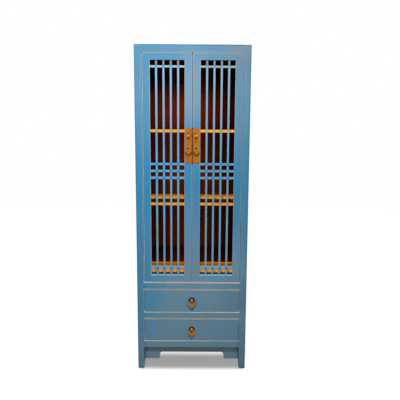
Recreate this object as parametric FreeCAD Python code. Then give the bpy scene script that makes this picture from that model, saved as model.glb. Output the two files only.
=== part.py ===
"""A tall, narrow cabinet: two lattice doors over two drawers, on four square posts.

Millimetres. X runs across the front, the front faces -Y and Z is up from the floor.
The origin is under the middle of the whole object, pulls included.
Depths are counted from the front face of the posts towards the back.
"""
import FreeCAD, Part
import math
import os

# Whole cabinet
cabinet_width = 650.0
cabinet_height = 1905.0
carcass_depth = 390.0
post_size = 40.0
post_edge_radius = 3.0
leg_taper = 3.5

# Rails of the frame, with the open heights between them
rail_depth = 30.0
bottom_rail_clearance = 137.0
bottom_rail_height = 40.5
drawer_opening_height = 141.0
divider_rail_height = 41.2
middle_rail_height = 42.1
top_rail_height = 40.0
tenon_length = 20.0
side_tenon_length = 11.0
tenon_thickness = 10.0
tenon_shoulder = 5.0

# Panels that close the sides, back and top
panel_thickness = 10.0
panel_setback = 4.0
groove_depth = 6.0
top_panel_thickness = 12.0
top_panel_drop = 6.0

# Aprons under the bottom rails
apron_thickness = 16.0
apron_setback = 18.0
apron_height = 83.0
arch_height = 43.0
front_ear_width = 92.5
side_ear_width = 60.0
arch_corner_radius = 16.0
ear_corner_radius = 5.0
ear_slant = 4.0
apron_tongue_share = 0.8

# Shelves, cupboard floor and dust panel
shelf_spacing = 422.0
shelf_rail_height = 16.5
shelf_rail_depth = 20.0
shelf_tenon_length = 8.0
shelf_tenon_thickness = 8.0
shelf_board_thickness = 16.0
floor_board_thickness = 19.0
board_front_depth = 145.0
board_clearance = 1.0
board_edge_radius = 1.5
cleat_size = 20.0
dust_panel_thickness = 8.0
dust_panel_clearance = 0.5
kicker_height = 12.0
bearer_width = 32.0

# Doors
door_thickness = 22.0
front_setback = 1.0
door_side_gap = 2.5
door_end_gap = 2.0
door_meeting_gap = 2.0
door_sweep_gap = 0.6
stile_width = 44.0
door_top_rail_height = 41.0
door_bottom_rail_height = 44.2
door_tenon_length = 30.0
door_tenon_thickness = 8.0
door_tenon_shoulder = 4.0
door_edge_radius = 2.0
pivot_radius = 5.0
pivot_length = 10.0
pivot_edge_distance = 9.0
pivot_face_distance = 8.0
pivot_clearance = 0.05
socket_end_gap = 1.5

# Lattice in each door
upright_count = 4
upright_width = 10.8
cross_bar_height = 11.2
bar_depth = 20.0
bar_tenon_length = 6.0
upper_bar_drop = 29.0
lower_bar_rise = 35.0
band_bar_pitch = 39.6
band_rise = 1.0

# Drawers
drawer_side_gap = 2.5
drawer_end_gap = 2.5
drawer_running_gap = 0.3
drawer_front_thickness = 20.0
drawer_front_edge_radius = 2.0
drawer_side_thickness = 12.0
drawer_side_inset = 1.0
drawer_side_drop = 3.0
drawer_back_thickness = 12.0
drawer_back_drop = 10.0
drawer_back_gap = 1.0
drawer_bottom_thickness = 8.0
drawer_bottom_rise = 8.0
drawer_housing_depth = 6.0
drawer_lap = 8.0
runner_tongue_length = 8.0
guide_width = 12.5
guide_rise = 12.0

# Brass plates and hanging pulls
plate_width = 37.0
plate_height = 198.0
plate_thickness = 1.5
plate_corner_radius = 7.0
plate_inset = 3.0
plate_centre_height = 1350.8
plate_nail_inset = 6.0
nail_head_radius = 2.2
nail_head_height = 0.9
nail_shank_radius = 0.8
nail_length = 9.0
rosette_radius = 18.0
rosette_thickness = 1.6
rosette_boss_radius = 9.0
rosette_boss_height = 1.2
pin_radius = 1.8
pin_clearance = 0.08
pin_stand = 6.0
knuckle_radius = 3.8
knuckle_width = 7.0
cheek_thickness = 3.2
cheek_radius = 5.0
knuckle_side_gap = 0.3
staple_shank_radius = 2.5
door_pull_rise = 54.2
drawer_pull_rise = 3.0
pull_thickness = 2.4
tag_length = 107.5
tag_neck_width = 6.4
tag_stem_width = 11.0
tag_stem_start = 8.0
tag_shoulder_start = 45.0
tag_shoulder_end = 60.0
tag_width = 31.0
tag_point_start = 90.0
tag_hole_drop = 65.5
leaf_length = 49.0
leaf_width = 39.0
leaf_shoulder_start = 5.5
leaf_widest_drop = 15.5
leaf_hole_drop = 13.0
pull_hole_radius = 3.2
pull_rim_width = 2.4
pull_rim_height = 0.8

# Places that follow from the sizes above
half_width = cabinet_width / 2
inner_half_width = half_width - post_size
boss_reach = rosette_thickness + rosette_boss_height
pull_reach = max(plate_thickness, boss_reach) + pin_stand + cheek_radius - front_setback
front_y = (pull_reach - carcass_depth) / 2
apron_tongue = apron_tongue_share * (post_size - apron_setback - apron_thickness)
lower_opening_bottom = bottom_rail_clearance + bottom_rail_height
lower_opening_top = lower_opening_bottom + drawer_opening_height
upper_opening_bottom = lower_opening_top + divider_rail_height
upper_opening_top = upper_opening_bottom + drawer_opening_height
door_opening_bottom = upper_opening_top + middle_rail_height
door_opening_top = cabinet_height - top_rail_height
panel_outer_x = half_width - panel_setback
panel_inner_x = panel_outer_x - panel_thickness
back_panel_face = carcass_depth - panel_setback - panel_thickness
back_post_face = carcass_depth - post_size
side_rail_inner_x = half_width - rail_depth
door_outer_x = inner_half_width - door_side_gap
door_inner_x = door_meeting_gap / 2
door_bottom = door_opening_bottom + door_end_gap
door_top = door_opening_top - door_end_gap
lattice_bottom = door_bottom + door_bottom_rail_height
lattice_top = door_top - door_top_rail_height
pivot_x = door_outer_x - pivot_edge_distance
pivot_depth = front_setback + pivot_face_distance
door_sweep_radius = math.hypot(pivot_edge_distance, door_thickness - pivot_face_distance)
shelf_rail_face = pivot_depth + door_sweep_radius + door_sweep_gap


def block(x_from, x_to, depth_from, depth_to, z_from, z_to):
    """A rectangular block, with its depths counted back from the posts' front face."""
    corner = FreeCAD.Vector(x_from, front_y + depth_from, z_from)
    return Part.makeBox(x_to - x_from, depth_to - depth_from, z_to - z_from, corner)


def rounded(solid, radius, chosen):
    """The solid with the edges that the test chooses rounded."""
    edges = [edge for edge in solid.Edges if chosen(edge)]
    return solid.makeFillet(radius, edges)


def runs_along(edge, axis):
    """True for a straight edge along one axis: 0 for X, 1 for Y, 2 for Z."""
    start, end = edge.firstVertex().Point, edge.lastVertex().Point
    spans = [abs(end[i] - start[i]) for i in range(3)]
    return spans[axis] > 0 and math.isclose(spans[axis], sum(spans))


def mirrored(solid):
    """The same piece on the other side of the middle plane."""
    return solid.mirror(FreeCAD.Vector(0, 0, 0), FreeCAD.Vector(1, 0, 0))


def let_in(host, *guests):
    """The host with a housing cut in it for each piece that is let into it."""
    for guest in guests:
        host = host.cut(guest)
    return host


def rod_up(radius, x, depth, z_from, z_to):
    """A round rod standing upright."""
    base = FreeCAD.Vector(x, front_y + depth, z_from)
    return Part.makeCylinder(radius, z_to - z_from, base, FreeCAD.Vector(0, 0, 1))


def rod_back(radius, x, z, depth_from, depth_to):
    """A round rod lying front to back."""
    base = FreeCAD.Vector(x, front_y + depth_from, z)
    return Part.makeCylinder(radius, depth_to - depth_from, base, FreeCAD.Vector(0, 1, 0))


def rod_across(radius, x_from, x_to, depth, z):
    """A round rod lying across the cabinet."""
    base = FreeCAD.Vector(x_from, front_y + depth, z)
    return Part.makeCylinder(radius, x_to - x_from, base, FreeCAD.Vector(1, 0, 0))


def upright_face(points, depth):
    """A flat face in an upright plane, from corner points given as x and z."""
    corners = [FreeCAD.Vector(x, front_y + depth, z) for x, z in points]
    return Part.Face(Part.makePolygon(corners + corners[:1]))


def front_rail(z_from, z_to, depth_from=0):
    """A rail across the cabinet between two posts, with a tenon at each end."""
    depth_to = depth_from + rail_depth
    middle = (depth_from + depth_to) / 2
    rail = block(-inner_half_width, inner_half_width, depth_from, depth_to, z_from, z_to)
    tenon = block(-inner_half_width - tenon_length, inner_half_width + tenon_length,
                  middle - tenon_thickness / 2, middle + tenon_thickness / 2,
                  z_from + tenon_shoulder, z_to - tenon_shoulder)
    return rail.fuse(tenon).removeSplitter()


def side_rail(z_from, z_to):
    """A left rail from the front post to the back post, with a tenon at each end."""
    middle = -half_width + rail_depth / 2
    rail = block(-half_width, -side_rail_inner_x, post_size, back_post_face, z_from, z_to)
    tenon = block(middle - tenon_thickness / 2, middle + tenon_thickness / 2,
                  post_size - side_tenon_length, back_post_face + side_tenon_length,
                  z_from + tenon_shoulder, z_to - tenon_shoulder)
    return rail.fuse(tenon).removeSplitter()


def left_post(depth_from, inner_depth):
    """A left post, its outer edges eased, its foot tapered on the two inner sides."""
    depth_to = depth_from + post_size
    post = block(-half_width, -inner_half_width, depth_from, depth_to, 0, cabinet_height)
    post = rounded(post, post_edge_radius,
                   lambda edge: runs_along(edge, 2) and edge.CenterOfMass.x < -half_width + post_edge_radius)
    taper_top = bottom_rail_clearance - apron_height
    inner_x = -inner_half_width
    side_wedge = upright_face([(inner_x, taper_top), (inner_x, 0), (inner_x - leg_taper, 0)], depth_from)
    side_wedge = side_wedge.extrude(FreeCAD.Vector(0, post_size, 0))
    inner_y = front_y + inner_depth
    taper_y = inner_y + math.copysign(leg_taper, depth_from + post_size / 2 - inner_depth)
    corners = [FreeCAD.Vector(-half_width, inner_y, taper_top), FreeCAD.Vector(-half_width, inner_y, 0),
               FreeCAD.Vector(-half_width, taper_y, 0)]
    end_wedge = Part.Face(Part.makePolygon(corners + corners[:1]))
    end_wedge = end_wedge.extrude(FreeCAD.Vector(post_size, 0, 0))
    return post.cut(side_wedge).cut(end_wedge)


def arch_profile(span, ear_width):
    """Corners of the arch in an apron, from its left foot round to its right foot, as (u, z)."""
    foot_z = bottom_rail_clearance - apron_height
    top_z = foot_z + arch_height
    half_foot = span / 2 - ear_width + ear_slant
    half_top = span / 2 - ear_width
    return [(-half_foot, foot_z), (-half_top, top_z), (half_top, top_z), (half_foot, foot_z)]


def front_apron(depth_from):
    """The board under a bottom rail, cut to a flat arch with rounded corners."""
    foot_z = bottom_rail_clearance - apron_height
    reach = inner_half_width + apron_tongue
    board = block(-inner_half_width, inner_half_width, depth_from, depth_from + apron_thickness,
                  foot_z, bottom_rail_clearance)
    tongue = block(-reach, reach, depth_from, depth_from + apron_thickness,
                   foot_z + arch_height, bottom_rail_clearance)
    board = board.fuse(tongue).removeSplitter()
    arch = upright_face(arch_profile(2 * inner_half_width, front_ear_width), depth_from)
    board = board.cut(arch.extrude(FreeCAD.Vector(0, apron_thickness, 0)))
    return soften_arch(board, 0, 1, front_ear_width, 2 * inner_half_width)


def soften_arch(board, along, through, ear_width, span):
    """Round the arch's two inner corners and the ears' two lower corners."""
    middle = board.BoundBox.Center[along]
    top_z = bottom_rail_clearance - apron_height + arch_height
    foot_z = bottom_rail_clearance - apron_height
    reach = span / 2 - ear_width + 2 * ear_slant

    def at_height(height):
        return lambda edge: (runs_along(edge, through) and abs(edge.CenterOfMass.z - height) < ear_slant
                             and abs(edge.CenterOfMass[along] - middle) < reach)

    board = rounded(board, arch_corner_radius, at_height(top_z))
    return rounded(board, ear_corner_radius, at_height(foot_z))


def side_apron():
    """The left apron, the same board turned along the side."""
    foot_z = bottom_rail_clearance - apron_height
    x_from = -half_width + apron_setback
    x_to = x_from + apron_thickness
    board = block(x_from, x_to, post_size, back_post_face, foot_z, bottom_rail_clearance)
    tongue = block(x_from, x_to, post_size - apron_tongue,
                   back_post_face + apron_tongue, foot_z + arch_height, bottom_rail_clearance)
    board = board.fuse(tongue).removeSplitter()
    span = back_post_face - post_size
    middle_y = front_y + carcass_depth / 2
    corners = [FreeCAD.Vector(x_from, middle_y + u, z) for u, z in arch_profile(span, side_ear_width)]
    arch = Part.Face(Part.makePolygon(corners + corners[:1]))
    board = board.cut(arch.extrude(FreeCAD.Vector(apron_thickness, 0, 0)))
    return soften_arch(board, 1, 0, side_ear_width, span)


def side_panel(z_from, z_to):
    """A left panel held in grooves in the posts and the side rails."""
    return block(-panel_outer_x, -panel_inner_x, post_size - groove_depth, back_post_face + groove_depth,
                 z_from - groove_depth, z_to + groove_depth)


def back_panel(z_from, z_to):
    """A back panel held in grooves in the back posts and rails."""
    reach = inner_half_width + groove_depth
    return block(-reach, reach, back_panel_face, carcass_depth - panel_setback,
                 z_from - groove_depth, z_to + groove_depth)


def top_panel():
    """The panel that closes the top, held in grooves a little below the rails' upper edge."""
    reach = side_rail_inner_x + groove_depth
    z_to = cabinet_height - top_panel_drop
    return block(-reach, reach, rail_depth - groove_depth, carcass_depth - rail_depth + groove_depth,
                 z_to - top_panel_thickness, z_to)


def shelf_rail(top_z):
    """A thin rail across the front of a shelf, just behind the sweep of the doors."""
    z_from = top_z - shelf_rail_height
    rail = block(-inner_half_width, inner_half_width, shelf_rail_face, shelf_rail_face + shelf_rail_depth,
                 z_from, top_z)
    reach = inner_half_width + shelf_tenon_length
    tenon = block(-reach, reach, shelf_rail_face, shelf_rail_face + shelf_tenon_thickness, z_from, top_z)
    return rail.fuse(tenon).removeSplitter()


def loose_board(top_z, thickness):
    """A board laid in from the back wall forward, notched round the back posts."""
    reach = panel_inner_x - board_clearance
    board = block(-reach, reach, board_front_depth, back_panel_face - board_clearance,
                  top_z - thickness, top_z)
    board = rounded(board, board_edge_radius,
                    lambda edge: runs_along(edge, 0)
                    and edge.CenterOfMass.y < front_y + board_front_depth + board_clearance)
    notch_x = inner_half_width - board_clearance
    notch_depth = back_post_face - board_clearance
    for x_from, x_to in ((-half_width, -notch_x), (notch_x, half_width)):
        board = board.cut(block(x_from, x_to, notch_depth, carcass_depth, top_z - thickness, top_z))
    return board


def dust_panel():
    """The thin panel between the cupboard and the upper drawer, notched round all posts."""
    z_from = upper_opening_top + kicker_height
    z_to = z_from + dust_panel_thickness
    reach = side_rail_inner_x - dust_panel_clearance
    panel = block(-reach, reach, rail_depth + dust_panel_clearance,
                  carcass_depth - rail_depth - dust_panel_clearance, z_from, z_to)
    notch_x = inner_half_width - dust_panel_clearance
    notch_depths = ((0, post_size + dust_panel_clearance),
                    (back_post_face - dust_panel_clearance, carcass_depth))
    for x_from, x_to in ((-half_width, -notch_x), (notch_x, half_width)):
        for depth_from, depth_to in notch_depths:
            panel = panel.cut(block(x_from, x_to, depth_from, depth_to, z_from, z_to))
    return panel


def shelf_cleats(top_z):
    """The two strips on the side panels that carry a shelf board."""
    cleat = block(-panel_inner_x, -panel_inner_x + cleat_size, post_size, back_post_face,
                  top_z - shelf_board_thickness - cleat_size, top_z - shelf_board_thickness)
    return [cleat, mirrored(cleat)]


def drawer_bearers(z_from, opening_bottom):
    """The left and right runner under a drawer, each with its guide and a tongue in the rail."""
    inner_x = side_rail_inner_x - bearer_width
    runner_top = opening_bottom + drawer_end_gap - drawer_running_gap
    runner = block(-side_rail_inner_x, -inner_x, post_size, back_post_face, z_from, runner_top)
    guide_outer_x = inner_half_width - drawer_side_gap
    guide = block(-guide_outer_x - guide_width, -guide_outer_x, post_size, back_post_face,
                  runner_top, runner_top + guide_rise)
    tongue = block(-inner_half_width, -inner_x, rail_depth - runner_tongue_length, post_size,
                   z_from + tenon_shoulder, opening_bottom - tenon_shoulder)
    runner = runner.fuse([guide, tongue]).removeSplitter()
    return [runner, mirrored(runner)]


def kickers():
    """The two strips over the upper drawer, which stop it tipping and carry the dust panel."""
    kicker = block(-side_rail_inner_x, -side_rail_inner_x + bearer_width, post_size, back_post_face,
                   upper_opening_top, upper_opening_top + kicker_height)
    return [kicker, mirrored(kicker)]


def door_member(x_from, x_to, z_from, z_to):
    """A plain member of a left door's frame."""
    return block(x_from, x_to, front_setback, front_setback + door_thickness, z_from, z_to)


def door_rail(z_from, z_to):
    """A rail of a left door, with a tenon into each stile."""
    x_from = -door_outer_x + stile_width
    x_to = -door_inner_x - stile_width
    middle = front_setback + door_thickness / 2
    rail = door_member(x_from, x_to, z_from, z_to)
    tenon = block(x_from - door_tenon_length, x_to + door_tenon_length,
                  middle - door_tenon_thickness / 2, middle + door_tenon_thickness / 2,
                  z_from + door_tenon_shoulder, z_to - door_tenon_shoulder)
    return rail.fuse(tenon).removeSplitter()


def stile(x_from, x_to, edge_x):
    """A stile of a left door, eased along its two corners at the door's own edge."""
    upright = door_member(x_from, x_to, door_bottom, door_top)
    return rounded(upright, door_edge_radius, lambda edge: runs_along(edge, 2)
                   and abs(edge.CenterOfMass.x - edge_x) < door_edge_radius)


def cross_bar_heights():
    """Middle heights of the cross bars: one at the top, a band of three, one at the bottom."""
    middle = (lattice_bottom + lattice_top) / 2 + band_rise
    top_bar = lattice_top - upper_bar_drop - cross_bar_height / 2
    bottom_bar = lattice_bottom + lower_bar_rise + cross_bar_height / 2
    return [bottom_bar, middle - band_bar_pitch, middle, middle + band_bar_pitch, top_bar]


def lattice():
    """The upright and cross bars of a left door, halved into each other."""
    x_from = -door_outer_x + stile_width
    x_to = -door_inner_x - stile_width
    bar_back = front_setback + door_thickness
    bar_front = bar_back - bar_depth
    bar_middle = (bar_front + bar_back) / 2
    gap = (x_to - x_from - upright_count * upright_width) / (upright_count + 1)
    upright_starts = [x_from + gap + i * (gap + upright_width) for i in range(upright_count)]
    uprights = [block(x, x + upright_width, bar_front, bar_back,
                      lattice_bottom - bar_tenon_length, lattice_top + bar_tenon_length)
                for x in upright_starts]
    cross_bars = [block(x_from - bar_tenon_length, x_to + bar_tenon_length, bar_front, bar_back,
                        z - cross_bar_height / 2, z + cross_bar_height / 2)
                  for z in cross_bar_heights()]
    front_half = block(x_from, x_to, bar_front, bar_middle, lattice_bottom, lattice_top)
    back_half = block(x_from, x_to, bar_middle, bar_back, lattice_bottom, lattice_top)
    front_laps = [bar.common(front_half) for bar in cross_bars]
    back_laps = [upright.common(back_half) for upright in uprights]
    return [let_in(upright, *front_laps) for upright in uprights], \
           [let_in(bar, *back_laps) for bar in cross_bars]


def pivots(extra_radius, extra_length):
    """The round pivots above and below a left door's outer stile, or the sockets for them."""
    radius = pivot_radius + extra_radius
    reach = door_end_gap + pivot_length + extra_length
    return [rod_up(radius, -pivot_x, pivot_depth, door_bottom - reach, door_bottom),
            rod_up(radius, -pivot_x, pivot_depth, door_top, door_top + reach)]


def staple(x, z, face_depth, shank_end, base_depth):
    """A forged staple: two rounded cheeks, the pin between them and a shank into the wood."""
    pin_depth = face_depth - pin_stand
    inner = knuckle_width / 2
    outer = inner + cheek_thickness
    pieces = [rod_across(pin_radius, x - outer, x + outer, pin_depth, z)]
    for x_from, x_to in ((x - outer, x - inner), (x + inner, x + outer)):
        pieces.append(rod_across(cheek_radius, x_from, x_to, pin_depth, z))
        pieces.append(block(x_from, x_to, pin_depth, face_depth, z - cheek_radius, z + cheek_radius))
    pieces.append(rod_back(staple_shank_radius, x, z, base_depth, shank_end))
    foot = block(x - outer, x + outer, face_depth, base_depth, z - cheek_radius, z + cheek_radius)
    return pieces[0].fuse(pieces[1:] + [foot]).removeSplitter()


def swinging(outline, x, z, pin_depth, hole_drop, neck_end):
    """A hanging pull: a rolled knuckle, a neck and a flat body with a rimmed hole."""
    face = pin_depth - pull_thickness / 2
    body = outline.extrude(FreeCAD.Vector(0, pull_thickness, 0))
    half_knuckle = knuckle_width / 2 - knuckle_side_gap
    knuckle = rod_across(knuckle_radius, x - half_knuckle, x + half_knuckle, pin_depth, z)
    neck = block(x - tag_neck_width / 2, x + tag_neck_width / 2, face, face + pull_thickness,
                 z - neck_end, z)
    hole_z = z - hole_drop
    rim_radius = pull_hole_radius + pull_rim_width
    rim = rod_back(rim_radius, x, hole_z, face - pull_rim_height, face + pull_thickness)
    pull = body.fuse([knuckle, neck, rim]).removeSplitter()
    bore = rod_across(pin_radius + pin_clearance, x - half_knuckle, x + half_knuckle, pin_depth, z)
    hole = rod_back(pull_hole_radius, x, hole_z, face - pull_rim_height, face + pull_thickness)
    return pull.cut(bore).cut(hole)


def outline_face(x, z, depth, half_outline):
    """A face from the right half of an outline: points (u, drop), or (through, end) pairs for arcs."""
    def place(u, drop):
        return FreeCAD.Vector(x + u, front_y + depth, z - drop)

    edges = []
    for side in (1, -1):
        here = place(side * half_outline[0][0], half_outline[0][1])
        for step in half_outline[1:]:
            if isinstance(step[0], tuple):
                through, end = [place(side * u, drop) for u, drop in step]
                edges.append(Part.Arc(here, through, end).toShape())
            else:
                end = place(side * step[0], step[1])
                edges.append(Part.makeLine(here, end))
            here = end
    edges.append(Part.makeLine(place(half_outline[0][0], half_outline[0][1]),
                               place(-half_outline[0][0], half_outline[0][1])))
    return Part.Face(Part.Wire(Part.__sortEdges__(edges)))


def tag_pull(x, z, face_depth):
    """The long door pull: a stem that widens to a tag with a pointed foot."""
    depth = face_depth - pin_stand
    stem = tag_stem_width / 2
    wide = tag_width / 2
    flare = (tag_shoulder_start + tag_shoulder_end) / 2
    bulge_drop = (tag_shoulder_end + tag_point_start) / 2
    outline = [(stem, tag_stem_start), (stem, tag_shoulder_start),
               (((stem + wide) / 2, flare), (wide - pull_rim_width / 2, tag_shoulder_end)),
               ((wide, bulge_drop), (wide - pull_rim_width / 2, tag_point_start)),
               (0, tag_length)]
    face = outline_face(x, z, depth - pull_thickness / 2, outline)
    return swinging(face, x, z, depth, tag_hole_drop, tag_stem_start)


def leaf_pull(x, z, face_depth):
    """The short drawer pull: a broad leaf with full shoulders and a pointed foot."""
    depth = face_depth - pin_stand
    wide = leaf_width / 2
    shoulder_drop = (2 * leaf_shoulder_start + leaf_widest_drop) / 3
    side_drop = (leaf_widest_drop + leaf_length) / 2
    outline = [(wide / 2, leaf_shoulder_start),
               ((wide - pull_rim_width, shoulder_drop), (wide, leaf_widest_drop)),
               ((wide - 2 * pull_rim_width, side_drop), (0, leaf_length))]
    face = outline_face(x, z, depth - pull_thickness / 2, outline)
    return swinging(face, x, z, depth, leaf_hole_drop, leaf_shoulder_start)


def domed_nail(x, z, face_depth):
    """A small nail with a low domed head."""
    head = rod_back(nail_head_radius, x, z, face_depth - nail_head_height, face_depth)
    head = rounded(head, nail_head_height * 2 / 3,
                   lambda edge: edge.CenterOfMass.y < front_y + face_depth - nail_head_height / 2
                   and edge.Curve.TypeId == "Part::GeomCircle")
    shank = rod_back(nail_shank_radius, x, z, face_depth, face_depth + nail_length)
    return head.fuse(shank).removeSplitter()


def door_plate():
    """A left door's brass plate and its four nails."""
    x_to = -door_inner_x - plate_inset
    x_from = x_to - plate_width
    z_from = plate_centre_height - plate_height / 2
    z_to = z_from + plate_height
    face = front_setback - plate_thickness
    plate = block(x_from, x_to, face, front_setback, z_from, z_to)
    plate = rounded(plate, plate_corner_radius,
                    lambda edge: runs_along(edge, 1) and edge.CenterOfMass.x < x_from + plate_inset)
    nails = [domed_nail(x, z, face)
             for x in (x_from + plate_nail_inset, x_to - plate_nail_inset)
             for z in (z_from + plate_nail_inset, z_to - plate_nail_inset)]
    return let_in(plate, *nails), nails


def left_door():
    """Every piece of the left door by name, the pull apart from the rest."""
    outer = stile(-door_outer_x, -door_outer_x + stile_width, -door_outer_x)
    outer = outer.fuse(pivots(0, 0)).removeSplitter()
    inner = stile(-door_inner_x - stile_width, -door_inner_x, -door_inner_x)
    top = door_rail(lattice_top, door_top)
    bottom = door_rail(door_bottom, lattice_bottom)
    uprights, cross_bars = lattice()
    plate, nails = door_plate()
    plate_x = -door_inner_x - plate_inset - plate_width / 2
    pull_z = plate_centre_height + door_pull_rise
    plate_face = front_setback - plate_thickness
    eye = staple(plate_x, pull_z, plate_face, front_setback + door_thickness, front_setback)
    return {
        "hinge_stile": [let_in(outer, top, bottom, *cross_bars)],
        "meeting_stile": [let_in(inner, top, bottom, eye, *cross_bars, *nails)],
        "top_rail": [let_in(top, *uprights)],
        "bottom_rail": [let_in(bottom, *uprights)],
        "upright_bars": uprights,
        "cross_bars": cross_bars,
        "plate": [let_in(plate, eye)] + nails,
        "staple": [eye],
        "pull": [tag_pull(plate_x, pull_z, plate_face)],
    }


def drawer(opening_bottom):
    """Every piece of a drawer by name."""
    reach = inner_half_width - drawer_side_gap
    z_from = opening_bottom + drawer_end_gap
    z_to = opening_bottom + drawer_opening_height - drawer_end_gap
    back_of_front = front_setback + drawer_front_thickness
    side_x = reach - drawer_side_inset
    inner_x = side_x - drawer_side_thickness
    end_depth = back_panel_face - drawer_back_gap
    front = block(-reach, reach, front_setback, back_of_front, z_from, z_to)
    front = rounded(front, drawer_front_edge_radius,
                    lambda edge: edge.BoundBox.YMax < front_y + front_setback + drawer_front_edge_radius)
    side = block(-side_x, -inner_x, back_of_front - drawer_lap, end_depth, z_from, z_to - drawer_side_drop)
    bottom_z = z_from + drawer_bottom_rise
    bottom_top = bottom_z + drawer_bottom_thickness
    bottom = block(-inner_x - drawer_housing_depth, inner_x + drawer_housing_depth,
                   back_of_front - drawer_housing_depth, end_depth, bottom_z, bottom_top)
    back = block(-inner_x - drawer_housing_depth, inner_x + drawer_housing_depth,
                 end_depth - drawer_back_thickness, end_depth, bottom_top, z_to - drawer_back_drop)
    pull_z = (z_from + z_to) / 2 + drawer_pull_rise
    rosette_face = front_setback - rosette_thickness
    boss_face = front_setback - boss_reach
    rosette = rod_back(rosette_radius, 0, pull_z, rosette_face, front_setback)
    rosette = rounded(rosette, rosette_thickness / 2,
                      lambda edge: edge.CenterOfMass.y < front_y + front_setback - rosette_thickness / 2
                      and edge.Curve.TypeId == "Part::GeomCircle")
    boss = rod_back(rosette_boss_radius, 0, pull_z, boss_face, rosette_face)
    rosette = rosette.fuse(boss).removeSplitter()
    eye = staple(0, pull_z, boss_face, back_of_front, front_setback)
    sides = [let_in(side, bottom, back), mirrored(let_in(side, bottom, back))]
    return {
        "front": [let_in(front, eye, bottom, *sides)],
        "sides": sides,
        "back": [back],
        "bottom": [bottom],
        "rosette": [let_in(rosette, eye)],
        "staple": [eye],
        "pull": [leaf_pull(0, pull_z, boss_face)],
    }


def carcass():
    """Every piece of the fixed frame, its panels, shelves and drawer bearers, by name."""
    back_rail_depth = carcass_depth - rail_depth
    rail_heights = {
        "bottom": (bottom_rail_clearance, lower_opening_bottom),
        "middle": (upper_opening_top, door_opening_bottom),
        "top": (door_opening_top, cabinet_height),
    }
    front_rails = {name: front_rail(*heights) for name, heights in rail_heights.items()}
    divider = front_rail(lower_opening_top, upper_opening_bottom)
    back_rails = [front_rail(*heights, back_rail_depth) for heights in rail_heights.values()]
    side_rails = [side_rail(*heights) for heights in rail_heights.values()]
    panel_heights = ((lower_opening_bottom, upper_opening_top), (door_opening_bottom, door_opening_top))
    side_panels = [side_panel(*heights) for heights in panel_heights]
    back_panels = [back_panel(*heights) for heights in panel_heights]
    aprons = {"front": front_apron(apron_setback), "side": side_apron(),
              "back": front_apron(carcass_depth - apron_setback - apron_thickness)}
    top = top_panel()
    upper_shelf_top = door_opening_top - shelf_spacing
    lower_shelf_top = upper_shelf_top - shelf_spacing
    shelf_rails = [shelf_rail(z) for z in (upper_shelf_top, lower_shelf_top)]
    lower_bearers = drawer_bearers(bottom_rail_clearance, lower_opening_bottom)
    upper_bearers = drawer_bearers(lower_opening_top, upper_opening_bottom)
    sockets = pivots(pivot_clearance, socket_end_gap)
    sockets += [mirrored(socket) for socket in sockets]

    front_guests = [*front_rails.values(), divider, *side_rails, *side_panels, top, *shelf_rails,
                    aprons["front"], aprons["side"]]
    back_guests = [*back_rails, *side_rails, *side_panels, *back_panels, top, aprons["side"], aprons["back"]]
    front_post = let_in(left_post(0, post_size), *front_guests)
    back_post = let_in(left_post(back_post_face, back_post_face), *back_guests)
    side_rails = [let_in(rail, *side_panels, top) for rail in side_rails]
    floor_top = door_opening_bottom + floor_board_thickness
    return {
        "front_left_post": [front_post],
        "front_right_post": [mirrored(front_post)],
        "back_left_post": [back_post],
        "back_right_post": [mirrored(back_post)],
        "top_front_rail": [let_in(front_rails["top"], top, *sockets)],
        "middle_front_rail": [let_in(front_rails["middle"], *sockets)],
        "drawer_divider_rail": [let_in(divider, *upper_bearers)],
        "bottom_front_rail": [let_in(front_rails["bottom"], *lower_bearers)],
        "back_rails": [let_in(rail, *back_panels, top) for rail in back_rails],
        "left_side_rails": side_rails,
        "right_side_rails": [mirrored(rail) for rail in side_rails],
        "left_side_panels": side_panels,
        "right_side_panels": [mirrored(panel) for panel in side_panels],
        "back_panels": back_panels,
        "top_panel": [top],
        "front_apron": [aprons["front"]],
        "side_aprons": [aprons["side"], mirrored(aprons["side"])],
        "back_apron": [aprons["back"]],
        "upper_shelf_rail": [shelf_rails[0]],
        "lower_shelf_rail": [shelf_rails[1]],
        "upper_shelf_board": [loose_board(upper_shelf_top, shelf_board_thickness)],
        "lower_shelf_board": [loose_board(lower_shelf_top, shelf_board_thickness)],
        "cupboard_floor_board": [loose_board(floor_top, floor_board_thickness)],
        "dust_panel": [dust_panel()],
        "shelf_cleats": shelf_cleats(upper_shelf_top) + shelf_cleats(lower_shelf_top),
        "drawer_runners": lower_bearers + upper_bearers,
        "drawer_kickers": kickers(),
    }


def save(name, solids):
    """Write one named piece, or a group of like pieces, to its own file."""
    shape = solids[0] if len(solids) == 1 else Part.makeCompound(solids)
    shape.exportStep("parts/" + name + ".step")
    print(name, len(solids), round(shape.Volume), shape.isValid())


os.makedirs("parts", exist_ok=True)
for piece_name, piece_solids in carcass().items():
    save(piece_name, piece_solids)
for piece_name, piece_solids in left_door().items():
    save("left_door_" + piece_name, piece_solids)
    save("right_door_" + piece_name, [mirrored(solid) for solid in piece_solids])
for drawer_name, drawer_opening in (("lower", lower_opening_bottom), ("upper", upper_opening_bottom)):
    for piece_name, piece_solids in drawer(drawer_opening).items():
        save(drawer_name + "_drawer_" + piece_name, piece_solids)
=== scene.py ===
"""A tall painted cabinet with two lattice doors over two drawers, and the finish of each of its pieces.

Metres. X runs across the front, the front faces -Y and Z is up from the floor. Every pattern lies in
the cabinet's own space, so wear and dirt run on from one piece to the next.
"""
import math

import bpy
import numpy as np
from mathutils import Matrix, Vector


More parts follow.
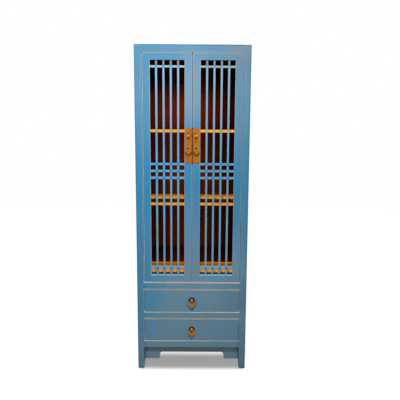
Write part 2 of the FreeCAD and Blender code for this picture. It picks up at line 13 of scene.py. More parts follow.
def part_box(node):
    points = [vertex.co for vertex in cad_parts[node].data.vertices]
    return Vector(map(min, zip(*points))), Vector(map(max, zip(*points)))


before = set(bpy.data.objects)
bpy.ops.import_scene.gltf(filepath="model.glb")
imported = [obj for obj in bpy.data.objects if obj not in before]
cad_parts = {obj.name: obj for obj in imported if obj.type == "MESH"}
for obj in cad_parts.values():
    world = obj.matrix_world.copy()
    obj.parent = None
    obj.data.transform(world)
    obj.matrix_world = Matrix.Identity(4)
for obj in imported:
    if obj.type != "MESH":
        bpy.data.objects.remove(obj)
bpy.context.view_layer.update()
scene = bpy.context.scene

# The camera stands a little right of the middle, at chest height, and looks slightly down. Its frame
# holds the whole cabinet, with a margin all round.
camera_place = Vector((0.0343, -2.8183, 1.4412))
camera_pitch = math.radians(8.667)
camera_yaw = math.radians(0.2386)
camera_roll = math.radians(0.3568)
camera = bpy.data.objects.new("camera", bpy.data.cameras.new("camera"))
camera.data.sensor_width = 36.0
camera.data.lens = 41.44
camera.matrix_world = (
    Matrix.Translation(camera_place)
    @ Matrix.Rotation(-camera_yaw, 4, "Z")
    @ Matrix.Rotation(math.pi / 2 - camera_pitch, 4, "X")
    @ Matrix.Rotation(camera_roll, 4, "Z")
)
scene.collection.objects.link(camera)
scene.camera = camera

# Corner posts: four square softwood posts that run down as the legs. They carry a blue paint that
# is brushed on along the grain, dusty and greyed by a painted reflection towards the floor, greyed by
# a painted sheen higher up, and rubbed through to the pale wood where the doors and drawers close
# against them. Inside the cabinet they are stained dark red.


class Value:
    """A number that varies over a surface. Arithmetic on it adds Math nodes."""

    def __init__(self, nodes, socket):
        self.nodes = nodes
        self.socket = socket

    def maths(self, operation, *numbers):
        return self.nodes.node("ShaderNodeMath", {"operation": operation}, dict(enumerate(numbers)))

    def __add__(self, other):
        return self.maths("ADD", self, other)

    def __radd__(self, other):
        return self.maths("ADD", other, self)

    def __sub__(self, other):
        return self.maths("SUBTRACT", self, other)

    def __rsub__(self, other):
        return self.maths("SUBTRACT", other, self)

    def __mul__(self, other):
        return self.maths("MULTIPLY", self, other)

    def __rmul__(self, other):
        return self.maths("MULTIPLY", other, self)

    def __truediv__(self, other):
        return self.maths("DIVIDE", self, other)

    def __mod__(self, other):
        return self.maths("FLOORED_MODULO", self, other)

    def __abs__(self):
        return self.maths("ABSOLUTE", self)

    def least(self, other):
        return self.maths("MINIMUM", self, other)

    def most(self, other):
        return self.maths("MAXIMUM", self, other)

    def ramp(self, low, high):
        """0 at low and 1 at high, with a smooth step between. With low over high it falls instead."""
        return self.nodes.node("ShaderNodeMapRange", {"interpolation_type": "SMOOTHSTEP"},
                               {"Value": self, "From Min": low, "From Max": high})


class Nodes:
    """A tree of shader nodes, which are added to it by name."""

    def __init__(self, tree):
        self.tree = tree

    def node(self, kind, settings, inputs, output=0):
        """Add a node: its settings first, then its sockets. Gives the value of one output."""
        node = self.tree.nodes.new(kind)
        for name, value in settings.items():
            setattr(node, name, value)
        self.fill(node, inputs)
        return Value(self, node.outputs[output])

    def fill(self, node, inputs):
        """Give a node's sockets, by name or place, their numbers or links."""
        for key, value in inputs.items():
            if isinstance(value, Value):
                self.tree.links.new(value.socket, node.inputs[key])
            else:
                node.inputs[key].default_value = value


class Finish(Nodes):
    """One material, with its patterns laid in the cabinet's own space."""

    def __init__(self, name, offset):
        self.material = bpy.data.materials.new(name)
        self.material.use_nodes = True
        super().__init__(self.material.node_tree)
        self.shader = self.tree.nodes["Principled BSDF"]
        place = self.node("ShaderNodeTexCoord", {}, {}, "Object")
        split = self.node("ShaderNodeSeparateXYZ", {}, {0: place})
        self.x, self.y, self.z = (Value(self, socket) for socket in split.socket.node.outputs)
        self.pattern = self.node("ShaderNodeVectorMath", {"operation": "ADD"}, {0: place, 1: offset})

    def noise(self, frequencies, detail=2.0, roughness=0.5):
        """Cloudy noise from 0 to 1, with its own number of waves per metre along each axis."""
        scaled = self.node("ShaderNodeVectorMath", {"operation": "MULTIPLY"},
                           {0: self.pattern, 1: frequencies})
        return self.node("ShaderNodeTexNoise", {},
                         {"Vector": scaled, "Scale": 1.0, "Detail": detail, "Roughness": roughness})

    def mix(self, amount, first, second):
        """The first colour where the amount is 0 and the second where it is 1."""
        return self.node("ShaderNodeMix", {"data_type": "RGBA"}, {0: amount, 6: first, 7: second}, 2)

    def set(self, **sockets):
        """Give the shader's sockets their numbers or links. Underscores stand for spaces."""
        self.fill(self.shader, {name.replace("_", " "): value for name, value in sockets.items()})

    def bump(self, height, depth):
        """Tilt the surface as if the height from 0 to 1 were that many metres deep."""
        self.set(Normal=self.node("ShaderNodeBump", {}, {"Distance": depth, "Height": height}))

    def cover(self, node):
        """Put the finish on a piece."""
        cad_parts[node].data.materials.clear()
        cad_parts[node].data.materials.append(self.material)


def colour(red, green, blue):
    """A colour given as a screen shows it, from 0 to 255, turned into light."""
    shown = np.array((red, green, blue)) / 255
    light = np.where(shown <= 0.04045, shown / 12.92, ((shown + 0.055) / 1.055) ** 2.4)
    return (*light.tolist(), 1.0)


def stretched(grain, across, along):
    """Waves per metre along X, Y and Z for a pattern drawn out along one of them."""
    return tuple(along if axis == grain else across for axis in "xyz")


def own_offset(node):
    """A place in the pattern that belongs to one piece, so that no two boards have the same grain."""
    seed = sum(ord(letter) * (i + 1) for i, letter in enumerate(node))
    return tuple(np.random.default_rng(seed).uniform(1.0, 9.0, 3).tolist())


post_low, post_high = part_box("front_left_post")
front = post_low.y
inner_x = -post_high.x
outer_x = -post_low.x
door_opening = (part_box("middle_front_rail")[1].z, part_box("top_front_rail")[0].z)
drawer_openings = [(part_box("drawer_divider_rail")[1].z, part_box("middle_front_rail")[0].z),
                   (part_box("bottom_front_rail")[1].z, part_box("drawer_divider_rail")[0].z)]
openings = [door_opening, *drawer_openings]
inner_side_x = -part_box("left_side_panels")[1].x
inner_back_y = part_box("back_panels")[0].y
inner_top_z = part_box("top_panel")[0].z
inner_bottom_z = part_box("bottom_front_rail")[0].z
lower_shelf_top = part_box("lower_shelf_board")[1].z
cupboard_floor_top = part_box("cupboard_floor_board")[1].z
pull_boxes = [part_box(pull) for pull in ("upper_drawer_pull", "lower_drawer_pull")]
pull_middles = [(low.z + high.z) / 2 for low, high in pull_boxes]
stain_start_depth = 0.024
clearest_z = 1.13
usual_rub_width = 0.0027
thin_paint_width = 0.0014
crumble_size = 0.0012
rim_band_width = 0.012
rim_line_width = 0.003
clear_blue = colour(42, 131, 176)
edge_blue = colour(30, 112, 176)
dim_blue = colour(30, 88, 114)
sheen_and_dust_top = colour(104, 142, 167)
dust_and_reflection_foot = colour(93, 130, 148)
top_sheen_grey = colour(128, 118, 116)
dark_edge = colour(34, 50, 58)
undercoat = colour(150, 172, 174)
cream_wood_highlight = colour(210, 208, 202)
tan_lintel = colour(150, 140, 126)
warm_lintel = colour(226, 196, 160)
pale_wood = colour(186, 172, 144)
pink_wood = colour(170, 136, 118)
tan_wood = colour(172, 154, 130)
brown_wood = colour(112, 84, 62)
warm_red = colour(246, 112, 4)
left_red = colour(186, 68, 26)
right_red = colour(104, 42, 12)
deep_red = colour(86, 26, 0)
black_red = colour(40, 9, 0)
rear_red = colour(96, 36, 14)


def beyond(finish, half_x, low_z, high_z, centre_x=0.0):
    """Distance outside an upright rectangle, and negative inside it: the larger of its two overshoots."""
    over_x = abs(finish.x - centre_x) - half_x
    over_z = abs(finish.z - (low_z + high_z) / 2) - (high_z - low_z) / 2
    return over_x.most(over_z)


def nearest_of(distances):
    """The least of several distances."""
    nearest = distances[0]
    for distance in distances[1:]:
        nearest = nearest.least(distance)
    return nearest


def from_openings(finish):
    """Distance from the front edges that the doors and drawers close against, plus a fifth of the depth."""
    distances = [beyond(finish, inner_x, low_z, high_z).most(0.0) for low_z, high_z in openings]
    return nearest_of(distances) + (finish.y - front) * 0.2


def level_lines(finish, heights):
    """1 within 8 mm of these heights, and 0 from 14 mm."""
    return nearest_of([abs(finish.z - height) for height in heights]).ramp(0.014, 0.008)


def facing(finish):
    """1 on the front faces of the posts and rails, and 0 from 6 mm behind them."""
    return (finish.y - front).ramp(0.006, 0.003)


def on_face(distance):
    """1 within 0.6 mm of a face, and 0 from 1.2 mm."""
    return distance.ramp(0.0012, 0.0006)


def within_cabinet(finish):
    """1 on every face inside the cabinet, behind the doors and drawers, and 0 outside."""
    margin = 0.0004
    depth_middle = (front + stain_start_depth + inner_back_y) / 2
    over_y = abs(finish.y - depth_middle) - (inner_back_y - front - stain_start_depth) / 2
    over = beyond(finish, inner_side_x, inner_bottom_z, inner_top_z).most(over_y)
    return over.ramp(2 * margin, margin)


def bare_colours(finish, fibres):
    """Bare wood: palest on the ledges, partly as a painted highlight, and upright from grey on the left
    through pink to tan on the right.
    """
    wood = finish.mix(finish.x.ramp(-0.25, -0.05), pale_wood, pink_wood)
    wood = finish.mix(finish.x.ramp(0.05, 0.25), wood, tan_wood)
    wood = finish.mix(level_lines(finish, [door_opening[1]]), wood, tan_lintel)
    wood = finish.mix(level_lines(finish, [high_z for _, high_z in drawer_openings]), wood, warm_lintel)
    wood = finish.mix(level_lines(finish, [low_z for low_z, _ in openings]), wood, cream_wood_highlight)
    return finish.mix((fibres - 0.45).ramp(0.0, 0.4) * 0.5, wood, brown_wood)


def red_colours(finish, grain):
    """Red stain with a painted glow left of the middle, and painted shade at the top, low down and over the
    shelves, but even at the rear.
    """
    streak = finish.noise(stretched(grain, 60.0, 2.0), 3.0, 0.6) - 0.5
    aside = finish.x + 0.04
    glow = aside.ramp(-0.3, -0.02) * aside.ramp(0.32, 0.0)
    top_shade = finish.z.ramp(1.6, 1.78)
    lower_half = finish.z.ramp(1.48, 1.26) * 0.3
    shelf_shade = finish.z.ramp(1.28, 1.4) * finish.z.ramp(1.46, 1.45) * 0.3
    low_shade = finish.z.ramp(1.1, 0.9) * 0.25
    # Every darkening here is painted shade, laid over random streaks in the stain.
    streaks_and_shade = streak * 0.4 + 0.1 + top_shade + lower_half + shelf_shade + low_shade
    for top in (lower_shelf_top, cupboard_floor_top):
        above = finish.z - top
        streaks_and_shade = streaks_and_shade + above.ramp(-0.002, 0.0) * above.ramp(0.14, 0.05)
    lit_red = finish.mix(glow, finish.mix(finish.x.ramp(-0.1, 0.15), left_red, right_red), warm_red)
    shaded_red = finish.mix(glow, black_red, deep_red)
    rear = (finish.y - inner_back_y).ramp(0.0005, 0.002)
    return finish.mix(rear, finish.mix(streaks_and_shade, lit_red, shaded_red), finish.mix(streak + 0.5, rear_red, deep_red))


def dust_and_sheen(paint, cloudy, streaks):
    """Grey from dust and a painted sheen and reflection: least at its clearest height, and rubbed clear round
    each pull.
    """
    above = paint.z - clearest_z
    below = clearest_z - paint.z
    upwards = (above * 1.2).least(0.45)
    downwards = below * (0.6 + paint.x.ramp(-0.3, -0.05) * 1.1)
    over_plates = abs(paint.x).ramp(0.13, 0.03) * above.ramp(0.3, 0.48) * above.ramp(0.8, 0.6)
    feet = below.ramp(0.85, 1.05)
    upper_right = paint.x.ramp(0.1, 0.3) * above.ramp(-0.4, 0.2)
    dust_and_sheen_amount = upwards.most(downwards) + over_plates * 0.5 + feet * 0.3 + upper_right * 0.2
    dust_and_sheen_amount = dust_and_sheen_amount + cloudy * 0.4 + (streaks - 0.5) * 0.6
    for middle_z in pull_middles:
        drop = paint.z - middle_z
        dust_and_sheen_amount = dust_and_sheen_amount - (paint.x * paint.x + drop * drop).ramp(0.0026, 0.0008) * 0.9
    return dust_and_sheen_amount


def dimness(paint, cloudy):
    """How much darker the paint is made: on the right, under the crown, and low down beside the hinges."""
    right = (paint.x + cloudy * 0.15).ramp(-0.02, 0.3)
    over_drawers = paint.z.ramp(0.6, 0.95) * 0.3
    low_down = paint.z.ramp(0.5, 0.1) * 0.25
    under_crown = paint.z.ramp(1.62, 1.86) * 0.22
    beside_hinges = abs(paint.x).ramp(0.26, 0.29) * paint.z.ramp(1.0, 0.7) * 0.18
    upper_drawer_end = paint.x.ramp(0.1, 0.26) * paint.z.ramp(0.6, 0.54) * paint.z.ramp(0.34, 0.4) * 0.25
    return right * (over_drawers + low_down) + under_crown + beside_hinges + upper_drawer_end


def outer_edges(paint, base):
    """Paint darkened along the front's two outer edges: a broad band, with a nearly black line on its rim."""
    off_centre = abs(paint.x)
    rim_blue = paint.mix(paint.x.ramp(-0.01, 0.01), edge_blue, dim_blue)
    band = off_centre.ramp(outer_x - rim_band_width, outer_x - rim_band_width / 2) * facing(paint) * 0.35
    line = off_centre.ramp(outer_x - rim_line_width, outer_x - rim_line_width / 3) * facing(paint) * 0.6
    return paint.mix(line, paint.mix(band, base, rim_blue), dark_edge)


def rubbed_edges(paint, base, fibres, distance, rub):
    """Paint rubbed thin and then away out to a wavering width. Gives the colours, and 1 where it is bare."""
    waver = paint.noise((16.0, 16.0, 16.0), 2.0)
    crumble = paint.noise((420.0, 420.0, 420.0), 2.0)
    lowest_right = paint.x.ramp(-0.05, 0.15) * paint.z.ramp(0.3, 0.25) * 0.45
    width = rub * (0.3 + 1.4 * waver) * (1.0 - lowest_right)
    over = distance(paint) - width - (crumble - 0.5) * crumble_size
    bare = over.ramp(0.0003, -0.0005)
    base = paint.mix(over.ramp(thin_paint_width, 0.0002) * 0.6, base, undercoat)
    return paint.mix(bare, base, bare_colours(paint, fibres)), bare


def blue_paint(node, grain, distance=None, rub=usual_rub_width, inside=True, details=None):
    """Blue paint on one piece, worn through within a few millimetres of its rubbed edges."""
    paint = Finish(node + "_paint", own_offset(node))
    patches = paint.noise((3.0, 3.0, 3.0), 3.0)
    streaks = paint.noise(stretched(grain, 95.0, 2.2), 4.0, 0.62)
    fibres = paint.noise(stretched(grain, 900.0, 26.0), 3.0, 0.6)
    cloudy = patches - 0.5
    # Dust and a painted sheen and reflection grey the paint above and below its clearest height.
    dust_and_sheen_colour = paint.mix(paint.z.ramp(0.0, 0.9), dust_and_reflection_foot, sheen_and_dust_top)
    base = paint.mix(dust_and_sheen(paint, cloudy, streaks).ramp(0.0, 1.05), clear_blue, dust_and_sheen_colour)
    base = paint.mix(dimness(paint, cloudy), base, dim_blue)
    # A painted sheen greys the paint at the top right.
    base = paint.mix(paint.x.ramp(0.0, 0.3) * paint.z.ramp(1.6, 1.9) * 0.3, base, top_sheen_grey)
    base = outer_edges(paint, base)
    base = paint.mix((fibres - 0.5).ramp(0.0, 0.4) * 0.14, base, undercoat)
    sheen = 0.42 + 0.16 * streaks
    relief = fibres * 0.55 + streaks * 0.3
    if distance is not None:
        base, bare = rubbed_edges(paint, base, fibres, distance, rub)
        sheen = sheen + bare * 0.2
        relief = relief - bare * 0.8
    scuffs = paint.noise((140.0, 140.0, 140.0), 3.0, 0.7).ramp(0.71, 0.76) * patches.ramp(0.45, 0.7)
    base = paint.mix(scuffs * 0.8, base, undercoat)
    if details is not None:
        base = details(paint, base)
    if inside:
        base = paint.mix(within_cabinet(paint), base, red_colours(paint, grain))
    paint.set(Base_Color=base, Roughness=sheen, Specular_IOR_Level=0.3)
    paint.bump(relief, 0.0003)
    paint.cover(node)


leg_tan = colour(188, 146, 104)
leg_brown = colour(84, 66, 52)
foot_dark = colour(64, 62, 56)
leg_top = inner_bottom_z
leg_taper = 0.0035
foot_dark_height = 0.009
post_rubs = {"front_left_post": 0.0013, "front_right_post": 0.0007}


def leg_marks(paint, base):
    """Brown on the legs' inner faces, tan low down on the left leg, and darker along the feet's lowest edge.
    """
    edge_x = inner_x + leg_taper * (1.0 - paint.z / leg_top)
    inner = (abs(paint.x) - edge_x).ramp(0.0026, 0.0016) * (paint.z - leg_top).ramp(0.0, -0.002)
    low_left = paint.z.ramp(0.075, 0.015) * paint.x.ramp(0.01, -0.01)
    base = paint.mix(inner, base, paint.mix(low_left, leg_brown, leg_tan))
    return paint.mix(paint.z.ramp(foot_dark_height, foot_dark_height / 3) * 0.8, base, foot_dark)


for post, rub in post_rubs.items():
    blue_paint(post, "z", from_openings, rub, details=leg_marks)
for post in ("back_left_post", "back_right_post"):
    blue_paint(post, "z", details=leg_marks)

# Frame rails: four softwood rails across the front, tenoned into the posts, and like rails at the
# back and sides. The front ones are rubbed bare along the edges that face the doors and drawers.
crown_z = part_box("top_front_rail")[1].z


def crown_edge(paint, base):
    """Paint darkened along the top rail's upper edge, more so on the right."""
    edge = (crown_z - paint.z).ramp(0.0055, 0.003) * facing(paint)
    return paint.mix(edge * (0.55 + paint.x.ramp(-0.05, 0.2) * 0.35), base, dark_edge)


blue_paint("top_front_rail", "x", from_openings, details=crown_edge)
for rail in ("middle_front_rail", "drawer_divider_rail", "bottom_front_rail"):
    blue_paint(rail, "x", from_openings)
blue_paint("back_rails", "x")
for rail in ("left_side_rails", "right_side_rails"):
    blue_paint(rail, "y")

# Aprons: softwood boards under the bottom rails, tongued into the legs and cut to a flat arch with
# rounded corners. They sit a little behind the face of the posts, in the shade of the rails.
ear_width = 0.0925
arch_height = 0.043
ear_x = inner_x - ear_width
ear_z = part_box("front_apron")[0].z
arch_z = ear_z + arch_height
under_rail_bounce = colour(130, 112, 98)


def arch_rim(paint, base):
    """Brown along the arch's edge, warm brown under the rail as painted bounce light in its shade, and dark
    painted shade where the ears meet the posts.
    """
    off_centre = abs(paint.x)
    base = paint.mix(0.1 + paint.z.ramp(0.098, 0.12) * 0.3, base, under_rail_bounce)
    rim = (paint.z - ear_z).least((off_centre - ear_x).most(paint.z - arch_z))
    base = paint.mix(rim.ramp(0.0036, 0.001) * 0.6, base, brown_wood)
    return paint.mix((inner_x - off_centre).ramp(0.004, 0.001) * 0.7, base, dark_edge)


for apron in ("front_apron", "back_apron"):
    blue_paint(apron, "x", inside=False, details=arch_rim)
blue_paint("side_aprons", "y", inside=False)

# Panels: thin boards held in grooves in the posts and rails. The sides and top are painted blue
# outside and stained dark red inside, and the back is stained on both faces.
for panel in ("left_side_panels", "right_side_panels"):
    blue_paint(panel, "z")
blue_paint("top_panel", "x")


def red_stain(node, grain):
    """Red stain under a thin varnish."""
    stain = Finish(node + "_stain", own_offset(node))
    fibres = stain.noise(stretched(grain, 700.0, 18.0), 3.0, 0.6)
    colours = stain.mix((fibres - 0.4).ramp(0.0, 0.4) * 0.3, red_colours(stain, grain), deep_red)
    stain.set(Base_Color=colours, Roughness=0.5 + 0.2 * fibres, Specular_IOR_Level=0.06)
    stain.bump(fibres, 0.0002)
    stain.cover(node)


red_stain("back_panels", "z")

# Inner boards and strips: the panel between the cupboard and the drawers, the cleats on the sides
# that carry the shelf boards, and the kickers over the upper drawer. All are stained like the back.
for node, grain in (("dust_panel", "x"), ("shelf_cleats", "y"), ("drawer_kickers", "y")):
    red_stain(node, grain)

# Shelves and cupboard floor: each shelf is an orange varnished rail just behind the doors and a board
# of the same colour that lies on cleats further back, with a dark gap between the two. The cupboard
# floor is such a board alone.
orange = colour(255, 162, 14)
deep_orange = colour(250, 138, 6)
pale_orange = colour(255, 190, 60)


def orange_varnish(node):
    """Clear orange varnish over softwood, grain across, darkened to deep red on a board's front edge and a
    rail's top.
    """
    varnish = Finish(node + "_varnish", own_offset(node))
    growth = varnish.noise(stretched("x", 55.0, 1.6), 4.0, 0.6)
    fibres = varnish.noise(stretched("x", 800.0, 22.0), 3.0, 0.6)
    base = varnish.mix(growth.ramp(0.35, 0.75), orange, deep_orange)
    base = varnish.mix((fibres - 0.45).ramp(0.0, 0.35) * 0.5, base, pale_orange)
    low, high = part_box(node)
    if node.endswith("_board"):
        darkened = (varnish.y - low.y).ramp(0.0024, 0.0012)
    else:
        darkened = on_face(high.z - varnish.z)
    base = varnish.mix(darkened, base, deep_red)
    varnish.set(Base_Color=base, Roughness=0.4 + 0.12 * fibres, Specular_IOR_Level=0.3)
    varnish.bump(fibres, 0.00015)
    varnish.cover(node)


for node in ("upper_shelf_rail", "lower_shelf_rail", "upper_shelf_board", "lower_shelf_board",
             "cupboard_floor_board"):
    orange_varnish(node)

# Drawer runners: bare planed strips under the drawers' sides, each with a low guide glued on beside
# the drawer's way.
plain_wood = colour(184, 146, 104)
plain_dark = colour(146, 106, 68)


def planed_wood(node, grain):
    """Bare planed softwood, a little darkened by handling."""
    wood = Finish(node + "_wood", own_offset(node))
    growth = wood.noise(stretched(grain, 70.0, 1.8), 4.0, 0.6)
    fibres = wood.noise(stretched(grain, 900.0, 25.0), 3.0, 0.6)
    base = wood.mix((growth * 0.7 + fibres * 0.3).ramp(0.35, 0.7), plain_wood, plain_dark)
    wood.set(Base_Color=base, Roughness=0.58 + 0.15 * fibres)
    wood.bump(fibres * 0.7 + growth * 0.3, 0.00025)
    wood.cover(node)


planed_wood("drawer_runners", "y")

# Door frames: each door has two softwood stiles and two rails, mortised together, and turns on pivots
# at the ends of its outer stile. It is rubbed bare round its outside, and more lightly round the
# lattice opening.
door_rubs = {"left": 0.003, "right": 0.0023}
pale_ledge_highlight = colour(98, 190, 236)
plate_shade = colour(58, 44, 52)


def from_door_edges(side):
    """Distance from the edges of a door's frame, outside and round its lattice."""
    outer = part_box(side + "_door_hinge_stile")
    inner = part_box(side + "_door_meeting_stile")
    low_x = min(outer[0].x, inner[0].x)
    high_x = max(outer[1].x, inner[1].x)
    low_z, high_z = inner[0].z, inner[1].z
    lattice_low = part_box(side + "_door_bottom_rail")[1].z
    lattice_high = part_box(side + "_door_top_rail")[0].z
    near_x = min(outer[1].x, inner[1].x)
    far_x = max(outer[0].x, inner[0].x)
    light_rub = 0.0012

    def distance(finish):
        outside = 0.0 - beyond(finish, (high_x - low_x) / 2, low_z, high_z, (low_x + high_x) / 2)
        around = beyond(finish, (far_x - near_x) / 2, lattice_low, lattice_high, (near_x + far_x) / 2)
        depth = (finish.y - inner[0].y).least(inner[1].y - finish.y)
        return outside.most(0.0).least(around.most(0.0) + light_rub) + depth

    return distance


def ledge_highlight(side):
    """The bottom rail's upper face, painted bright as a highlight where the light falls on it."""
    ledge_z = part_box(side + "_door_bottom_rail")[1].z
    return lambda paint, base: paint.mix(on_face(ledge_z - paint.z), base, pale_ledge_highlight)


def shaded_underside(side):
    """The top rail's lower face, painted dark as shade."""
    under_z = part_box(side + "_door_top_rail")[0].z
    return lambda paint, base: paint.mix(on_face(paint.z - under_z), base, dark_edge)


def plate_gap_shade(side):
    """Painted shade in the narrow strip of paint between the two plates."""
    low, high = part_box(side + "_door_plate")

    def marks(paint, base):
        over_z = abs(paint.z - (low.z + high.z) / 2) - (high.z - low.z) / 2
        return paint.mix(over_z.most(abs(paint.x)).ramp(0.006, 0.004) * 0.8, base, plate_shade)

    return marks


for side, rub in door_rubs.items():
    edges = from_door_edges(side)
    blue_paint(side + "_door_hinge_stile", "z", edges, rub, inside=False)
    blue_paint(side + "_door_meeting_stile", "z", edges, inside=False, details=plate_gap_shade(side))
    blue_paint(side + "_door_top_rail", "x", edges, inside=False, details=shaded_underside(side))
    blue_paint(side + "_door_bottom_rail", "x", edges, inside=False, details=ledge_highlight(side))

# Lattice: four softwood uprights in each door, halved into one cross bar near the top, three in the
# middle and one near the foot. Their front faces are paler than the frame round them, faded and with
# a painted highlight.
upright_count = 4
bar_width = 0.0108
shaded_bars_z = 1.44
high_bars = {"left": colour(118, 165, 194), "right": colour(116, 153, 173)}
clear_bars = {"left": colour(84, 164, 202), "right": colour(92, 148, 172)}
white_bars = {"left": colour(138, 172, 182), "right": colour(130, 152, 156)}
faded_lit_bar = colour(100, 154, 178)
grey_bar = colour(96, 112, 118)
ledge_highlight_blue = colour(30, 168, 250)
low_crossing = colour(36, 114, 160)
high_crossing = colour(82, 138, 172)


def bar_colours(paint, side):
    """The bars' front faces, faded and painted paler as a highlight: palest above the plates, clear under
    them and faded towards the foot.
    """
    faded_lit = paint.mix(paint.z.ramp(0.85, 1.0) * paint.z.ramp(1.45, 1.2), faded_lit_bar, clear_bars[side])
    return paint.mix(paint.z.ramp(1.4, 1.55), faded_lit, high_bars[side])


def faded_and_lit_front(side):
    """Paint faded and painted paler as a highlight on the cross bars' front faces, but not where an upright
    crosses behind them.

    The upper and lower faces of the low bars are painted bright as a highlight, and those of the top bar
    painted dark as shade.
    """
    low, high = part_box(side + "_door_upright_bars")
    pitch = (high.x - low.x - bar_width) / (upright_count - 1)
    halfway_x = low.x + bar_width / 2 - pitch / 2
    bars_low, bars_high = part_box(side + "_door_cross_bars")
    top_bar_z = bars_high.z - bar_width

    def marks(paint, base):
        face = on_face(paint.y - bars_low.y)
        across = abs((paint.x - halfway_x) % pitch - pitch / 2)
        over_upright = across.ramp(bar_width / 2 + 0.002, bar_width / 2 + 0.001)
        top_bar = (paint.z - top_bar_z).ramp(-0.02, 0.0)
        ledge_light_and_shade = paint.mix((paint.z - shaded_bars_z).ramp(-0.01, 0.01), ledge_highlight_blue, dark_edge)
        ledge_faces = paint.mix((bars_high.y - paint.y).ramp(0.0006, 0.0012), base, ledge_light_and_shade)
        faded_lit = paint.mix(top_bar, bar_colours(paint, side), white_bars[side])
        crossing = paint.mix(top_bar, low_crossing, high_crossing)
        return paint.mix(face, ledge_faces, paint.mix(over_upright, faded_lit, crossing))

    return marks


def faded_and_lit_uprights(side):
    """Paint faded and painted paler as a highlight on the uprights' front faces, as it was on their sides,
    and grey over the top cross bar.
    """
    face_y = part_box(side + "_door_upright_bars")[0].y
    top_bar_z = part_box(side + "_door_cross_bars")[1].z

    def marks(paint, base):
        over = (paint.z - top_bar_z).ramp(-0.001, 0.001) * 0.8
        faded_lit = paint.mix(over, bar_colours(paint, side), grey_bar)
        return paint.mix(on_face(paint.y - face_y), base, faded_lit)

    return marks


for side in door_rubs:
    blue_paint(side + "_door_upright_bars", "z", inside=False, details=faded_and_lit_uprights(side))
    blue_paint(side + "_door_cross_bars", "x", inside=False, details=faded_and_lit_front(side))

# Door brass: a long plate nailed to each meeting stile, with a forged staple near its top and a
# long pointed tag that hangs from the staple. It is old brass, brown in the hollows.
brass = colour(178, 110, 4)
brown_brass = colour(112, 60, 14)
bright_brass = colour(250, 204, 124)
black_brass = colour(46, 20, 4)
rim_brass = colour(170, 74, 4)
highlight_white_brass = colour(255, 242, 206)
pink_highlight_brass = colour(232, 170, 120)


def aged_brass(node, light, dark, shine=0.35, details=None):
    """Old brass, with a brown skin in clouds and fine scratches."""
    metal = Finish(node + "_brass", own_offset(node))
    clouds = metal.noise((90.0, 90.0, 90.0), 4.0, 0.65)
    pits = metal.noise((900.0, 900.0, 900.0), 3.0, 0.6)
    scratches = metal.noise((2200.0, 2200.0, 160.0), 2.0)
    base = metal.mix((clouds * 0.7 + pits * 0.3).ramp(0.38, 0.72), light, dark)
    base = metal.mix((scratches - 0.55).ramp(0.0, 0.2) * shine, base, bright_brass)
    if details is not None:
        base = details(metal, base)
    metal.set(Base_Color=base, Metallic=0.45, Roughness=0.36 + 0.2 * clouds, Specular_IOR_Level=0.2)
    metal.bump(clouds * 0.4 + pits * 0.6, 0.0002)
    metal.cover(node)


def plate_rim_and_shadow(side):
    """A black painted shadow in a V under the tag's point, and brown along the plate's border."""
    low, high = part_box(side + "_door_plate")
    tag_low, tag_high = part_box(side + "_door_pull")
    tag_x = (tag_low.x + tag_high.x) / 2
    slope = 0.68

    def marks(metal, base):
        rim = 0.0 - beyond(metal, (high.x - low.x) / 2, low.z, high.z, (low.x + high.x) / 2)
        base = metal.mix(rim.ramp(0.003, 0.001) * 0.5, base, rim_brass)
        over = metal.z - tag_low.z - abs(metal.x - tag_x) * slope
        return metal.mix(over.ramp(-0.009, -0.005) * over.ramp(0.008, 0.004) * 0.75, base, black_brass)

    return marks


def staple_highlight(node):
    """A staple painted nearly white down its middle as a highlight, and brown down its legs."""
    low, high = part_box(node)
    middle_x = (low.x + high.x) / 2
    return lambda metal, base: metal.mix(abs(metal.x - middle_x).ramp(0.003, 0.0048), base, brown_brass)


def from_spot(metal, spot_x, spot_z):
    """The square of the distance from a line that runs straight back through one spot on the front."""
    aside = metal.x - spot_x
    drop = metal.z - spot_z
    return aside * aside + drop * drop


def tag_shade_and_highlight(side):
    """Two dark spots of painted shade on the tag, just under the staple and low down, the lower with a
    painted highlight on its upper lip.
    """
    low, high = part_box(side + "_door_pull")
    middle_x = (low.x + high.x) / 2
    upper_z = high.z - 0.0165
    lower_z = high.z - 0.0695
    reach_squared = 0.005 ** 2

    def marks(metal, base):
        upper = from_spot(metal, middle_x, upper_z)
        lower = from_spot(metal, middle_x, lower_z)
        lip_highlight = lower.ramp(4 * reach_squared, 2 * reach_squared) * (metal.z - lower_z).ramp(0.001, 0.004)
        base = metal.mix(upper.ramp(1.8 * reach_squared, 0.9 * reach_squared), base, black_brass)
        base = metal.mix(lip_highlight * 0.8, base, pink_highlight_brass)
        return metal.mix(lower.ramp(1.8 * reach_squared, 0.9 * reach_squared), base, black_brass)

    return marks


for side in door_rubs:
    staple = side + "_door_staple"
    aged_brass(side + "_door_plate", brass, brown_brass, details=plate_rim_and_shadow(side))
    aged_brass(staple, highlight_white_brass, bright_brass, details=staple_highlight(staple))
    aged_brass(side + "_door_pull", brass, brown_brass, details=tag_shade_and_highlight(side))

# Drawers: a painted front on a box of bare planed wood, whose sides are lapped into the front. The
# front is rubbed bare round its edges.
drawers = ("upper_drawer", "lower_drawer")
drawer_rub = 0.0014


def from_box_edges(node):
    """Distance from the nearest edge of a board: the middle one of its distances from its faces."""
    low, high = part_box(node)

    def distance(finish):
        depths = []
        for axis, place in enumerate((finish.x, finish.y, finish.z)):
            middle = (low[axis] + high[axis]) / 2
            depths.append((high[axis] - low[axis]) / 2 - abs(place - middle))
        across, through, up = depths
        return across.least(up).most(across.most(up).least(through)).most(0.0)

    return distance


for drawer in drawers:
    blue_paint(drawer + "_front", "x", from_box_edges(drawer + "_front"), drawer_rub, inside=False)
    planed_wood(drawer + "_sides", "y")
    planed_wood(drawer + "_back", "x")
    planed_wood(drawer + "_bottom", "x")

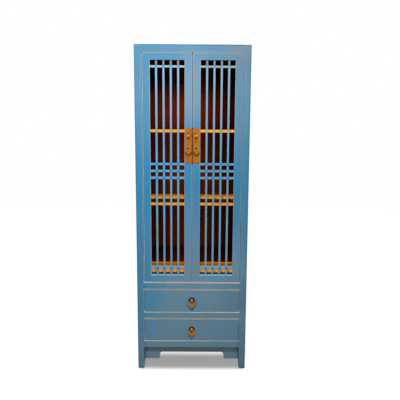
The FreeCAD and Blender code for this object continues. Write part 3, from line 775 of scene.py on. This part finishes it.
# Drawer brass: a dark round rosette on each drawer, with a staple and a broad hanging leaf. The
# metal has a painted highlight in one spot over the staple, and painted shade in the hollow under it.
rosette_brown = colour(64, 24, 4)
leaf_brass = colour(176, 104, 4)
peach_highlight_brass = colour(208, 144, 104)


def pull_highlight_and_shade(drawer):
    """A round painted highlight just over the staple's middle, and a dark spot of painted shade just under
    it.
    """
    low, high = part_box(drawer + "_rosette")
    middle_z = (low.z + high.z) / 2
    spots = ((middle_z + 0.0048, peach_highlight_brass), (middle_z - 0.0055, black_brass))
    reach_squared = 0.0042 ** 2

    def marks(metal, base):
        for spot_z, shade in spots:
            within = from_spot(metal, 0.0, spot_z).ramp(1.5 * reach_squared, 0.6 * reach_squared)
            base = metal.mix(within, base, shade)
        return base

    return marks


for drawer in drawers:
    marks = pull_highlight_and_shade(drawer)
    aged_brass(drawer + "_rosette", rosette_brown, black_brass, 0.1, marks)
    aged_brass(drawer + "_staple", leaf_brass, brown_brass, 0.1, marks)
    aged_brass(drawer + "_pull", leaf_brass, brown_brass, 0.2, marks)

# Studio: a soft round lamp in front of the cabinet and above it, white surroundings that fill the
# shade, and a white floor that shows the cabinet's shadow, with a painted shadow in a strip under it.
key_place = Vector((0.0, -1.95, 3.9))
key_aim = Vector((0.0, 0.0, 0.7))
key_turn = (key_aim - key_place).to_track_quat("-Z", "Y").to_matrix().to_4x4()
key = bpy.data.objects.new("key_light", bpy.data.lights.new("key_light", "AREA"))
key.data.shape = "DISK"
key.data.size = 0.3
key.data.energy = 144.0
key.matrix_world = Matrix.Translation(key_place) @ key_turn
scene.collection.objects.link(key)


def seen(nodes):
    """1 for what the camera, gloss or glass shows, and 0 for the light that falls on the cabinet."""
    camera_ray, glossy_ray, passing_ray = (
        nodes.node("ShaderNodeLightPath", {}, {}, output)
        for output in ("Is Camera Ray", "Is Glossy Ray", "Is Transmission Ray")
    )
    return camera_ray.most(glossy_ray).most(passing_ray)


fill_strength = 0.28
world = bpy.data.worlds.new("surroundings")
world.use_nodes = True
scene.world = world
surroundings = Nodes(world.node_tree)
strength = surroundings.node("ShaderNodeMapRange", {},
                             {"Value": seen(surroundings), "To Min": fill_strength, "To Max": 1.0})
background = world.node_tree.nodes["Background"]
surroundings.fill(background, {"Strength": strength, "Color": (1.0, 1.0, 1.0, 1.0)})

floor_half = 12.0
floor_mesh = bpy.data.meshes.new("studio_floor")
floor_mesh.from_pydata([(-floor_half, -floor_half, 0), (floor_half, -floor_half, 0),
                        (floor_half, floor_half, 0), (-floor_half, floor_half, 0)], [], [(0, 1, 2, 3)])
floor = bpy.data.objects.new("studio_floor", floor_mesh)
scene.collection.objects.link(floor)
ground = Finish("studio_floor", (0.0, 0.0, 0.0))
floor_mesh.materials.append(ground.material)
# The painted shadow: the floor's colour and glow are darker in a strip under the front of the cabinet.
shade_depth = 0.164
shade_half_x = outer_x - 0.012
shade_floor = (0.03, 0.03, 0.03, 1.0)
lit_floor = (0.36, 0.36, 0.36, 1.0)
shade_glow = (0.34, 0.34, 0.34, 1.0)
lit_glow = (0.88, 0.88, 0.88, 1.0)
no_glow = (0.0, 0.0, 0.0, 1.0)
over_x = (abs(ground.x) - shade_half_x).ramp(-0.004, 0.01)
over_front = (front - ground.y).ramp(-0.03, 0.05)
over_back = (ground.y - front - shade_depth).ramp(-0.026, 0.066)
open_floor = over_x.most(over_front).most(over_back)
glow = ground.mix(seen(ground), no_glow, ground.mix(open_floor, shade_glow, lit_glow))
ground.set(Base_Color=ground.mix(open_floor, shade_floor, lit_floor), Roughness=0.9,
           Specular_IOR_Level=0.0, Emission_Color=glow, Emission_Strength=1.0)

scene.view_settings.view_transform = "Standard"
